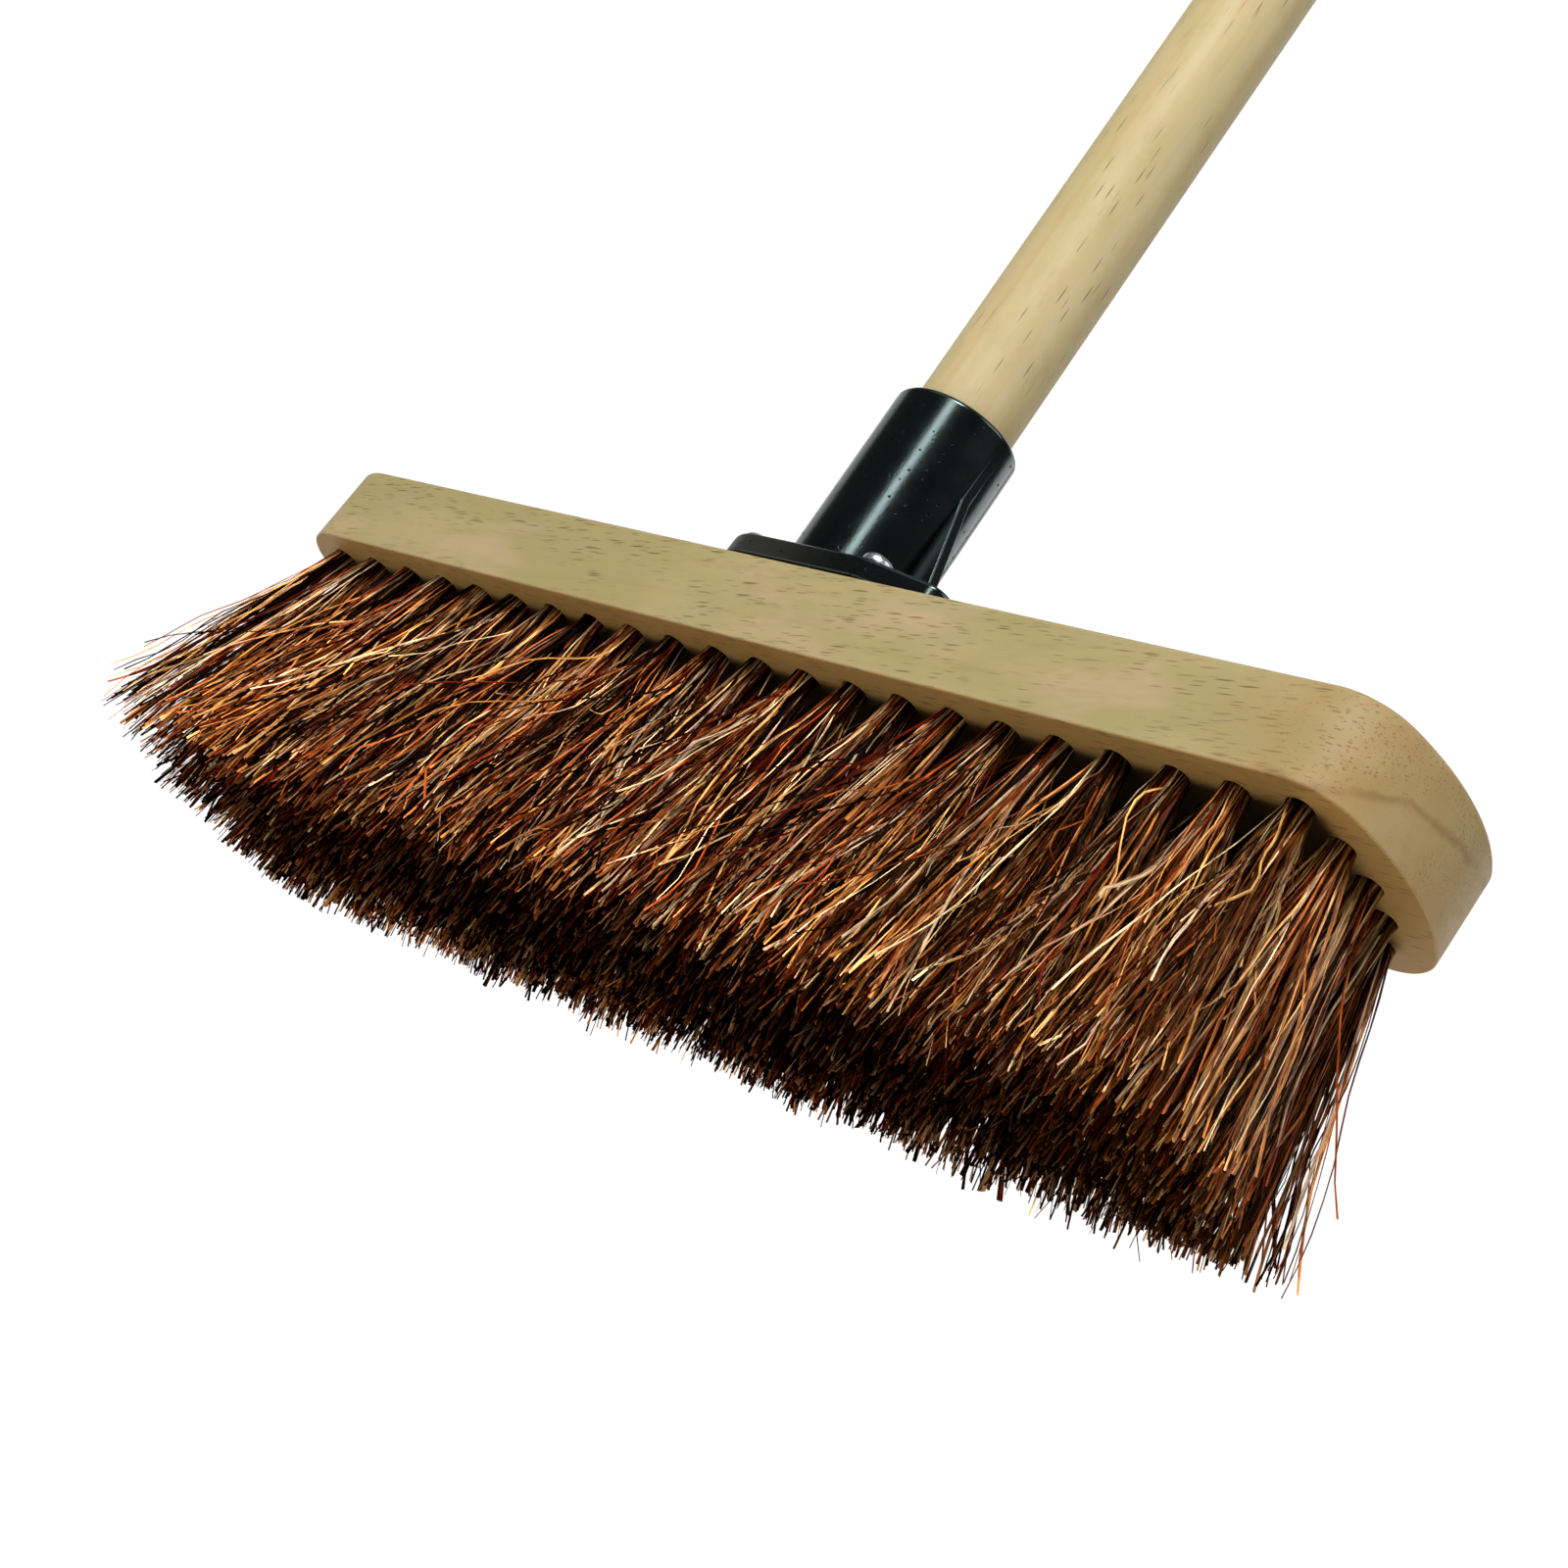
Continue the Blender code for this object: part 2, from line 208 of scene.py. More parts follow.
# Soft boxes, as name: (azimuth, elevation, distance, width, height, power)
SOFT_BOXES = {
    "key": (-76, 32, 1.5, 0.26, 1.5, 12.0),
    "spark": (-70, 42, 1.6, 0.28, 0.28, 11.0),
    "front fill": (-100, 50, 2.0, 1.8, 1.2, 3.0),
    "right fill": (8, 48, 2.0, 1.2, 1.0, 9.5),
    "far fill": (88, 24, 2.2, 1.2, 1.6, 9.0),
    "back fill": (172, 20, 2.2, 1.4, 1.4, 4.0),
    "rear fill": (136, 42, 2.2, 1.6, 1.6, 7.0),
}

# Camera, as a direction round the broom head
CAMERA_AZIMUTH = 48.49
CAMERA_ELEVATION = -18.54
CAMERA_ROLL = 36.70
CAMERA_DISTANCE = 0.5698
CAMERA_AIM = Vector((0.00607, 0.01150, 0.05438))
CAMERA_LENS = 64.85

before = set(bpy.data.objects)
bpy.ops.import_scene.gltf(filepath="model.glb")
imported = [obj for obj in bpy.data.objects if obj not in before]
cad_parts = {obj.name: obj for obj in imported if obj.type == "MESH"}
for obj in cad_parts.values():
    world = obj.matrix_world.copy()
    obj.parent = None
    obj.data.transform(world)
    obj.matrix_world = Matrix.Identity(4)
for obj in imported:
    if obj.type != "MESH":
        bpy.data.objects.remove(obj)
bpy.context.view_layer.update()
stock_low, stock_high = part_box("stock")
STOCK_MIDDLE = (stock_low + stock_high) / 2
STOCK_FRAME = Matrix.Translation((STOCK_MIDDLE.x, STOCK_MIDDLE.y, 0.0))
SOCKET_FRAME = Matrix.Translation((0.0, 0.0, stock_high.z)) @ Matrix.Rotation(SOCKET_LEAN, 4, "X")
random = np.random.default_rng(20)


# ---------------------------------------------------------------- shader building

class Shader:
    """A material whose nodes are added one call at a time. A value may be a number, a tuple or an output."""

    def __init__(self, name):
        self.material = bpy.data.materials.new(name)
        self.material.use_nodes = True
        self.tree = self.material.node_tree
        self.surface = self.tree.nodes["Principled BSDF"]

    def put(self, socket, value):
        if isinstance(value, bpy.types.NodeSocket):
            self.tree.links.new(value, socket)
        else:
            socket.default_value = value

    def node(self, kind, inputs=None, output=0, **properties):
        made = self.tree.nodes.new(kind)
        for key, value in properties.items():
            setattr(made, key, value)
        for key, value in (inputs or {}).items():
            self.put(made.inputs[key], value)
        return made.outputs[output]

    def maths(self, operation, *values):
        return self.node("ShaderNodeMath", dict(enumerate(values)), operation=operation)

    def times(self, *values):
        """The product of two or more values."""
        product = values[0]
        for value in values[1:]:
            product = self.maths("MULTIPLY", product, value)
        return product

    def parts(self, vector, axes="XYZ"):
        """Single coordinates of a vector."""
        return [self.node("ShaderNodeSeparateXYZ", {0: vector}, output=axis) for axis in axes]

    def own_place(self):
        return self.node("ShaderNodeTexCoord", output="Object")

    def upness(self):
        """How much the surface faces up: 1 is up and -1 is down."""
        return self.parts(self.node("ShaderNodeNewGeometry", output="Normal"), "Z")[0]

    def mix(self, factor, first, second, blend="MIX"):
        """Colour mix. The mix node has its colour sockets at 6 and 7, and its colour result at 2."""
        return self.node(
            "ShaderNodeMix", {0: factor, 6: first, 7: second}, output=2, data_type="RGBA", blend_type=blend,
        )

    def noise(self, vector, scale, detail=3.0, roughness=0.55):
        values = {"Vector": vector, "Scale": scale, "Detail": detail, "Roughness": roughness}
        return self.node("ShaderNodeTexNoise", values)

    def band(self, value, low, high, smooth=True):
        """0 where value is under low, 1 where it is over high; low may be the larger."""
        kind = "SMOOTHSTEP" if smooth else "LINEAR"
        values = {0: value, 1: low, 2: high, 3: 0.0, 4: 1.0}
        return self.node("ShaderNodeMapRange", values, interpolation_type=kind)

    def stretched(self, factors, turn=(0.0, 0.0, 0.0)):
        """The object's own coordinates, turned and then multiplied by factors."""
        scale = tuple(1 / factor for factor in factors)
        values = {"Vector": self.own_place(), "Rotation": turn, "Scale": scale}
        return self.node("ShaderNodeMapping", values, vector_type="TEXTURE")

    def bump(self, height, distance, strength):
        values = {"Height": height, "Distance": distance, "Strength": strength}
        return self.node("ShaderNodeBump", values)

    def finish(self, **values):
        for key, value in values.items():
            self.put(self.surface.inputs[key.replace("_", " ")], value)
        return self.material


def colour(red, green, blue):
    """A colour given as it shows on a screen, 0 to 255, as the linear colour a shader takes."""
    def linear(level):
        share = level / 255
        return share / 12.92 if share <= 0.04045 else ((share + 0.055) / 1.055) ** 2.4
    return (linear(red), linear(green), linear(blue), 1.0)


def dashes(s, factors, thickness, turn=(0.0, 0.0, 0.0)):
    """Short dark pores lying along the grain: 1 on a pore, 0 off it."""
    place = s.stretched(factors, turn)
    cells = s.node("ShaderNodeTexVoronoi", {"Vector": place, "Scale": 1.0, "Randomness": 1.0})
    return s.band(cells, thickness, thickness * 0.4)


def stain_and_painted_light(s, base, mask, strength, tone):
    """The base colour with a tone, as shown on a screen, laid over it where a mask is: real stains, and also
    painted shade and painted reflection.
    """
    return s.mix(s.maths("MULTIPLY", mask, strength), base, colour(*tone))


def stock_end_stains(s, base, cluster):
    """Browner blotches and fine dark speckles on the end grain of the +X end."""
    end = s.band(s.parts(s.own_place(), "X")[0], 0.112, 0.142)
    blotch = s.band(s.noise(s.stretched((60.0, 60.0, 60.0)), 1.4, detail=4.0), 0.36, 0.66)
    base = stain_and_painted_light(s, base, end, s.maths("MULTIPLY_ADD", blotch, 0.45, 0.30), (158, 124, 74))
    cells = s.node("ShaderNodeTexVoronoi", {"Vector": s.stretched((900.0, 900.0, 900.0)), "Scale": 1.0})
    return stain_and_painted_light(s, base, s.times(s.band(cells, 0.22, 0.10), cluster, end), 0.45, (86, 60, 32))


def stock_underside(s, base):
    """The underside gets a browner tone as painted shade, finer pores, and painted shade, nearly black,
    between the tufts.
    """
    under = s.band(s.upness(), -0.5, -0.85)
    along, across = s.parts(s.own_place(), "XY")
    pores = s.times(dashes(s, (120.0, 1300.0, 1300.0), 0.28), under)
    # Painted shade: the face turned down gets a browner tone
    base = stain_and_painted_light(s, base, under, 0.80, (168, 128, 66))
    base = stain_and_painted_light(s, base, pores, 0.65, (84, 56, 24))
    # Painted shade, nearly black, on the underside between the tufts
    beside = s.band(s.maths("ABSOLUTE", across), 0.0205, 0.0170)
    beyond = s.band(s.maths("ABSOLUTE", along), 0.1435, 0.1390)
    return stain_and_painted_light(s, base, s.times(beside, under, beyond), 0.93, (30, 14, 6))


def stock_growth_line(s, base):
    """A soft brown growth line that climbs across the +X end, steeper at the front."""
    place = s.own_place()
    along, across, height = s.parts(place)
    steep = s.maths("MULTIPLY", s.band(across, -0.0253, -0.0133, smooth=False), 0.008)
    gentle = s.maths("MULTIPLY", s.band(across, -0.0133, 0.0267, smooth=False), 0.010)
    wave = s.maths("MULTIPLY", s.noise(place, 120.0, detail=2.0), 0.004)
    level = s.maths("ADD", s.maths("ADD", steep, gentle), s.maths("ADD", wave, stock_low.z - 0.0012))
    away = s.maths("ABSOLUTE", s.maths("SUBTRACT", height, level))
    line = s.times(s.band(away, 0.0015, 0.0001), s.band(along, 0.122, 0.138))
    return stain_and_painted_light(s, base, s.times(line, s.band(s.noise(place, 110.0), 0.30, 0.55)), 0.45, (118, 80, 38))


def stock_wood():
    """Pale sanded hardwood: soft pinkish and greenish clouds, fine grain and short brown pores along X."""
    s = Shader("pale_wood")
    clouds = s.noise(s.stretched((9.0, 30.0, 30.0)), 1.8, detail=4.0)
    base = s.mix(s.band(clouds, 0.38, 0.62), colour(157, 143, 96), colour(167, 150, 106))
    pink = s.noise(s.stretched((24.0, 60.0, 60.0), GRAIN_TURN), 1.6, detail=3.0)
    base = stain_and_painted_light(s, base, s.band(pink, 0.50, 0.70), 0.45, (184, 157, 126))
    green = s.noise(s.stretched((22.0, 60.0, 60.0), GRAIN_TURN), 2.2, detail=4.0)
    base = stain_and_painted_light(s, base, s.band(green, 0.50, 0.74), 0.34, (152, 144, 104))
    grain = s.noise(s.stretched((26.0, 260.0, 260.0), GRAIN_TURN), 1.0, detail=5.0, roughness=0.7)
    base = stain_and_painted_light(s, base, s.band(grain, 0.50, 0.78), 0.36, (136, 110, 62))
    cluster = s.band(s.noise(s.stretched((14.0, 34.0, 34.0)), 2.0), 0.40, 0.56)
    wide = dashes(s, (96.0, 980.0, 980.0), 0.27, GRAIN_TURN)
    thin = dashes(s, (170.0, 1500.0, 1500.0), 0.32, GRAIN_TURN)
    pores = s.times(s.maths("MAXIMUM", wide, s.maths("MULTIPLY", thin, 0.7)), cluster)
    base = stain_and_painted_light(s, base, pores, 0.68, (90, 64, 28))
    base = stock_end_stains(s, base, cluster)
    base = stock_underside(s, base)
    base = stock_growth_line(s, base)
    relief = s.maths("SUBTRACT", s.maths("MULTIPLY", grain, 0.35), s.maths("MULTIPLY", pores, 0.8))
    return s.finish(
        Base_Color=base,
        Roughness=s.maths("ADD", s.maths("MULTIPLY", grain, 0.25), 0.42),
        Normal=s.bump(relief, 0.0002, 0.5),
        Specular_IOR_Level=0.35,
    )


def handle_wood():
    """Pale turned wood with long faint streaks and a few short brown flecks along its length."""
    s = Shader("handle_wood")
    clouds = s.noise(s.stretched((60.0, 60.0, 9.0)), 1.2, detail=4.0)
    base = s.mix(s.band(clouds, 0.35, 0.65), colour(180, 164, 118), colour(190, 172, 130))
    blush = s.noise(s.stretched((70.0, 70.0, 14.0)), 1.7, detail=2.0)
    base = stain_and_painted_light(s, base, s.band(blush, 0.52, 0.68), 0.30, (190, 164, 122))
    mottle = s.noise(s.stretched((120.0, 120.0, 60.0)), 1.5, detail=5.0, roughness=0.65)
    base = stain_and_painted_light(s, base, s.band(mottle, 0.46, 0.72), 0.30, (160, 138, 92))
    streak = s.noise(s.stretched((170.0, 170.0, 2.4)), 1.0, detail=3.0, roughness=0.6)
    base = stain_and_painted_light(s, base, s.band(streak, 0.54, 0.72), 0.34, (176, 144, 92))
    grain = s.noise(s.stretched((700.0, 700.0, 14.0)), 1.0, detail=4.0, roughness=0.7)
    base = stain_and_painted_light(s, base, s.band(grain, 0.55, 0.80), 0.22, (150, 124, 78))
    cluster = s.band(s.noise(s.stretched((40.0, 40.0, 14.0)), 2.0), 0.42, 0.56)
    flecks = s.times(dashes(s, (1250.0, 1250.0, 70.0), 0.24, (0.0, 0.02, 0.0)), cluster)
    base = stain_and_painted_light(s, base, flecks, 0.80, (98, 66, 34))
    relief = s.maths("SUBTRACT", s.maths("MULTIPLY", grain, 0.4), s.maths("MULTIPLY", flecks, 0.7))
    return s.finish(
        Base_Color=base,
        Roughness=s.maths("ADD", s.maths("MULTIPLY", grain, 0.2), 0.45),
        Normal=s.bump(relief, 0.0002, 0.4),
        Specular_IOR_Level=0.35,
    )


def black_plastic():
    """Glossy black moulding, finely uneven and pitted; the flange's side wall is duller towards -X and has a
    painted grey reflection there.
    """
    s = Shader("black_plastic")
    place = s.own_place()
    along, height = s.parts(place, "XZ")
    # Painted grey reflection on the flange's side wall, stronger towards -X, where the wall is also rougher
    edge = s.band(height, stock_high.z + 0.0056, stock_high.z + 0.0050)
    painted_sheen = s.times(edge, s.band(s.upness(), 0.75, 0.45), s.band(along, 0.024, -0.008))
    fine = s.noise(place, 2600.0, detail=2.0)
    broad = s.noise(place, 190.0, detail=2.0)
    cells = s.node("ShaderNodeTexVoronoi", {"Vector": place, "Scale": 400.0, "Randomness": 0.5})
    pits = s.times(s.band(cells, 0.17, 0.12), s.band(broad, 0.40, 0.52))
    relief = s.maths("SUBTRACT", s.maths("MULTIPLY", fine, 0.30), s.maths("MULTIPLY", pits, 0.3))
    base = s.mix(broad, colour(1, 2, 2), colour(3, 4, 4))
    # The painted grey reflection on the flange's side wall
    base = stain_and_painted_light(s, base, painted_sheen, 0.75, (42, 39, 33))
    base = s.mix(pits, base, colour(1, 1, 1))
    dull = s.maths("ADD", s.maths("MULTIPLY", painted_sheen, 0.25), s.maths("MULTIPLY", pits, 0.4))
    return s.finish(
        Base_Color=base,
        Roughness=s.maths("ADD", s.maths("ADD", s.maths("MULTIPLY", broad, 0.12), 0.12), dull),
        Normal=s.bump(relief, 0.00014, 0.5),
        Specular_IOR_Level=s.maths("MULTIPLY_ADD", pits, -0.70, 0.75),
        Specular_Tint=(0.74, 1.0, 0.98, 1.0),
    )


def zinc_steel():
    """Bright zinc-plated steel with faint turning marks and dull spots."""
    s = Shader("zinc_steel")
    spots = s.noise(s.own_place(), 900.0, detail=3.0)
    rings = s.noise(s.stretched((1.0, 1.0, 60.0)), 220.0, detail=2.0)
    return s.finish(
        Base_Color=s.mix(spots, colour(176, 176, 182), colour(226, 226, 230)),
        Metallic=1.0,
        Roughness=s.maths("ADD", s.maths("MULTIPLY", spots, 0.22), 0.18),
        Normal=s.bump(rings, 0.00008, 0.4),
    )


def fibre_material():
    """Stiff glossy palm fibre: each fibre has its own tone, with darker and lighter streaks along it."""
    s = Shader("bassine_fibre")
    tone = s.node("ShaderNodeAttribute", attribute_name="fibre_tone")
    place = s.node("ShaderNodeAttribute", output="Vector", attribute_name="fibre_place")
    streaks = s.noise(place, 1.0, detail=3.0, roughness=0.6)
    dark = s.mix(1.0, tone, (0.20, 0.11, 0.07, 1.0), blend="MULTIPLY")
    base = s.mix(s.band(streaks, 0.56, 0.36), tone, dark)
    light = s.mix(1.0, tone, (2.10, 1.90, 1.66, 1.0), blend="MULTIPLY")
    base = s.mix(s.band(streaks, 0.54, 0.72), base, light)
    brightness = s.band(s.node("ShaderNodeRGBToBW", {0: tone}), 0.02, 0.50, smooth=False)
    return s.finish(
        Base_Color=base,
        Roughness=s.maths("ADD", s.maths("MULTIPLY", streaks, 0.30), 0.20),
        Normal=s.bump(streaks, 0.00025, 0.6),
        Specular_IOR_Level=s.maths("ADD", s.maths("MULTIPLY", brightness, 0.6), 0.03),
        Specular_Tint=(1.0, 0.86, 0.74, 1.0),
    )


# ---------------------------------------------------------------- mesh building

def add_piece(name, mesh, finish, body, place, stands_for, sharp=40.0):
    """An object for a mesh, riding on a body in place of a CAD node. Bends over sharp degrees look sharp."""
    mesh.shade_smooth()
    mesh.set_sharp_from_angle(angle=math.radians(sharp))
    made = bpy.data.objects.new(name, mesh)
    bpy.context.scene.collection.objects.link(made)
    mesh.materials.clear()
    mesh.materials.append(finish)
    made.matrix_world = place
    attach(made, body)
    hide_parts(stands_for)
    # Blender adds a number to the name, because the CAD material of the same slot has it already
    return made


def mesh_from(built):
    bmesh.ops.recalc_face_normals(built, faces=built.faces)
    mesh = bpy.data.meshes.new("shape")
    built.to_mesh(mesh)
    built.free()
    return mesh


def combined(target, tools, operation):
    """The mesh left when solids are joined to or cut from a mesh. Each tool is (mesh, matrix)."""
    base = bpy.data.objects.new("solid", target)
    bpy.context.scene.collection.objects.link(base)
    helpers = []
    for mesh, place in tools:
        helper = bpy.data.objects.new("tool", mesh)
        bpy.context.scene.collection.objects.link(helper)
        helper.matrix_world = place
        helpers.append(helper)
        step = base.modifiers.new("combine", "BOOLEAN")
        step.operation = operation
        step.solver = "EXACT"
        step.object = helper
    bpy.context.view_layer.update()
    graph = bpy.context.evaluated_depsgraph_get()
    result = bpy.data.meshes.new_from_object(base.evaluated_get(graph))
    for old in [base, *helpers]:
        bpy.data.objects.remove(old, do_unlink=True)
    return result


def arc(centre, radius, start, end, steps):
    turns = np.linspace(start, end, steps + 1)
    return [(centre[0] + radius * math.cos(t), centre[1] + radius * math.sin(t)) for t in turns]


def inset(outline, distance):
    """A closed outline, listed anticlockwise, moved inwards by a distance."""
    points = np.array(outline)
    along = np.roll(points, -1, 0) - np.roll(points, 1, 0)
    along /= np.linalg.norm(along, axis=1)[:, None]
    return points + np.stack([-along[:, 1], along[:, 0]], 1) * distance


def rounded_prism(outline, low, high, bottom_round, top_round):
    """A straight-sided solid whose top and bottom edges are rounded."""
    levels = []
    for k in range(EDGE_STEPS + 1):
        turn = math.pi / 2 * k / EDGE_STEPS
        levels.append((bottom_round * (1 - math.sin(turn)), low + bottom_round * (1 - math.cos(turn))))
    for k in range(EDGE_STEPS + 1):
        turn = math.pi / 2 * k / EDGE_STEPS
        levels.append((top_round * (1 - math.cos(turn)), high - top_round * (1 - math.sin(turn))))
    built = bmesh.new()
    rings = [[built.verts.new((x, y, z)) for x, y in inset(outline, step)] for step, z in levels]
    count = len(outline)
    for lower, upper in zip(rings, rings[1:]):
        for k in range(count):
            following = (k + 1) % count
            built.faces.new((lower[k], lower[following], upper[following], upper[k]))
    built.faces.new(rings[0][::-1])
    built.faces.new(rings[-1])
    return built


def lathe(profile, sides):
    """A solid turned round Z from (radius, height) points; the first and last lie on the axis."""
    built = bmesh.new()
    ends = [built.verts.new((0.0, 0.0, profile[i][1])) for i in (0, -1)]
    turns = [2 * math.pi * k / sides for k in range(sides)]
    rings = []
    for radius, height in profile[1:-1]:
        rings.append([built.verts.new((radius * math.cos(t), radius * math.sin(t), height)) for t in turns])
    for k in range(sides):
        following = (k + 1) % sides
        built.faces.new((ends[0], rings[0][following], rings[0][k]))
        built.faces.new((ends[1], rings[-1][k], rings[-1][following]))
        for lower, upper in zip(rings, rings[1:]):
            built.faces.new((lower[k], lower[following], upper[following], upper[k]))
    return built


def quarter(radius_at, height_at, size, first, last, steps=5):
    """Points of a quarter turn on a lathe profile, round a centre, between two angles in degrees."""
    turns = np.radians(np.linspace(first, last, steps + 1))
    return [(radius_at + size * math.cos(t), height_at + size * math.sin(t)) for t in turns]


# ---------------------------------------------------------------- stock

def stock_outline():
    """Straight long sides, with each end a shallow arc that runs into two round corners."""
    size = stock_high - stock_low
    corner_y = size.y / 2 - STOCK_CORNER_RADIUS
    end_x = size.x / 2 - STOCK_END_RADIUS
    corner_x = end_x + math.sqrt((STOCK_END_RADIUS - STOCK_CORNER_RADIUS) ** 2 - corner_y**2)
    meet = math.atan2(corner_y, corner_x - end_x)
    right = arc((corner_x, -corner_y), STOCK_CORNER_RADIUS, -math.pi / 2, -meet, OUTLINE_STEPS)
    right += arc((end_x, 0.0), STOCK_END_RADIUS, -meet, meet, OUTLINE_STEPS)[1:-1]
    right += arc((corner_x, corner_y), STOCK_CORNER_RADIUS, meet, math.pi / 2, OUTLINE_STEPS)
    return right + [(-x, -y) for x, y in right]


def tuft_root(column, row):
    across, half_row = TUFT_ROWS[row]
    return Vector(((2 * column / (COLUMN_COUNT - 1) - 1) * half_row, across, stock_low.z))


def tuft_lean(column, row):
    """How a tuft leans along and across the stock, in degrees."""
    place = tuft_root(column, row).x
    along = np.interp(place, *zip(*LEAN_ALONG))
    if place > RIGHT_END:
        along *= RIGHT_END_SHARES[row]
    stations, leans = zip(*LEAN_ACROSS)
    across = np.interp(place, stations, [degrees[row] for degrees in leans])
    return float(along), float(across)


def direction(along, across):
    """The downward unit vector of a lean in degrees along and across the stock."""
    down = np.stack([np.tan(np.radians(along)), np.tan(np.radians(across)), -np.ones_like(along)], -1)
    return down / np.linalg.norm(down, axis=-1, keepdims=True)


def make_stock(finish):
    built = rounded_prism(stock_outline(), stock_low.z, stock_high.z, STOCK_BOTTOM_ROUND, STOCK_TOP_ROUND)
    drill = bmesh.new()
    for column in range(COLUMN_COUNT):
        for row in range(len(TUFT_ROWS)):
            along, across = tuft_lean(column, row)
            down = Vector(direction(np.array(along * DRILL_LEAN_SHARE), np.array(across)))
            turn = Vector((0.0, 0.0, -1.0)).rotation_difference(down).to_matrix().to_4x4()
            middle = tuft_root(column, row) - down * (HOLE_DEPTH - DRILL_CLEARANCE) / 2
            bmesh.ops.create_cone(
                drill, cap_ends=True, segments=HOLE_SIDES, radius1=HOLE_RADIUS, radius2=HOLE_RADIUS,
                depth=HOLE_DEPTH + DRILL_CLEARANCE, matrix=Matrix.Translation(middle) @ turn,
            )
    mesh = combined(mesh_from(built), [(mesh_from(drill), Matrix())], "DIFFERENCE")
    stock = add_piece("wooden_stock", mesh, finish, "broom_head", STOCK_FRAME, "stock")
    stock.modifiers.new("even shading", "WEIGHTED_NORMAL").keep_sharp = True


# ---------------------------------------------------------------- bristles

def screen_colour(tone):
    return np.array(colour(*tone)[:3])


def fibre_tones(count):
    """A base colour for each fibre, from near black through red-brown and brown to gold and straw; the many
    near-black ones partly paint shade between the fibres.
    """
    palette = np.array([screen_colour(tone) for tone, _ in FIBRE_COLOURS])
    chosen = palette[random.choice(len(palette), count, p=[share for _, share in FIBRE_COLOURS])]
    return chosen * random.uniform(0.75, 1.25, (count, 1)) * random.uniform(0.92, 1.08, (count, 3))


def wander(count, share):
    """Smooth sideways wander of each fibre in two directions, nothing at its root, less in short waves."""
    total = np.zeros((count, FIBRE_RINGS, 2))
    for waves in (0.4, 0.8, 1.5, 2.6):
        height = random.normal(0, 1, (count, 1, 2)) / waves
        start = random.uniform(0, 2 * math.pi, (count, 1, 2))
        total += height * (np.sin(2 * math.pi * waves * share[:, :, None] + start) - np.sin(start))
    return total


def fibre_spots(count):
    """Where the fibres of a tuft stand round its middle, on a loose sunflower spiral, and their clumps."""
    reach = TUFT_ROOT_RADIUS * np.sqrt((np.arange(count) + 0.5) / count)
    turn = np.arange(count) * SPIRAL_TURN + random.uniform(0, 6.28)
    spot = np.stack([reach * np.cos(turn), reach * np.sin(turn)], 1)
    spot += random.normal(0, ROOT_SCATTER, spot.shape)
    centres = random.uniform(-TUFT_ROOT_RADIUS, TUFT_ROOT_RADIUS, (CLUMPS_PER_TUFT, 2))
    clump = np.linalg.norm(spot[:, None, :] - centres[None, :, :], axis=2).argmin(1)
    return spot, clump


def fibre_leans(column, row, spot, clump, stray, at_end):
    """Each fibre's downward direction, and how wild it is: the tuft's, its clump's and its own lean."""
    lean = list(tuft_lean(column, row))
    for k in range(2):
        lean[k] += random.normal(0, TUFT_LEAN_SPREAD[k])
        lean[k] = lean[k] + random.normal(0, CLUMP_LEAN_SPREAD[k], CLUMPS_PER_TUFT)[clump]
    wildest = 1.0 if at_end else WILD_FACTOR
    wild = np.where(stray, 0.5, np.where(random.random(len(spot)) < WILD_SHARE, wildest, 1.0))
    for k in range(2):
        spread = spot[:, k] / TUFT_ROOT_RADIUS * FAN_LEAN[k]
        spread += random.normal(0, FIBRE_LEAN_SPREAD[k], len(spot)) * wild
        lean[k] = lean[k] + np.clip(spread, -SPREAD_LIMIT, SPREAD_LIMIT)
    return direction(np.clip(lean[0], *LEAN_LIMITS), lean[1]), wild


def fibre_lengths(row, down, clump):
    """The free length of each fibre, trimmed flat at the floor, with some of them shortened by wear or cut
    short.
    """
    count = len(down)
    whole = np.minimum(stock_low.z / -down[:, 2], FIBRE_LENGTH + random.normal(0, LENGTH_SPREAD, count))
    length = whole - np.abs(random.normal(0, TRIM_SPREAD, count))
    length -= random.uniform(0.0, CLUMP_CUTS[row], CLUMPS_PER_TUFT)[clump]
    short = random.random(count) < SHORT_SHARES[row]
    return length - np.where(short, random.uniform(SHORTEST_CUT, LONGEST_CUTS[row], count), 0.0)


def fibre_drift(travel, length, stray, wild, at_end):
    """How far each fibre strays from a straight line, in its two sideways directions."""
    count = len(length)
    free = np.clip(travel / length[:, None], 0, 1)
    loose = STRAY_WANDER_AT_END if at_end else STRAY_WANDER
    size = np.where(stray, loose, WANDER_SIZE * wild) * random.uniform(0.4, 1.7, count)
    drift = wander(count, free) * size[:, None, None] * free[:, :, None] ** 0.7
    kink_place = random.uniform(0.15, 0.85, (count, 1)) * length[:, None]
    slope = random.normal(0, KINK_SLOPE_AT_END if at_end else KINK_SLOPE, (count, 2))
    slope *= ((random.random(count) < KINKED_SHARE) & ~stray)[:, None]
    return drift + slope[:, None, :] * np.maximum(travel - kink_place, 0)[:, :, None]


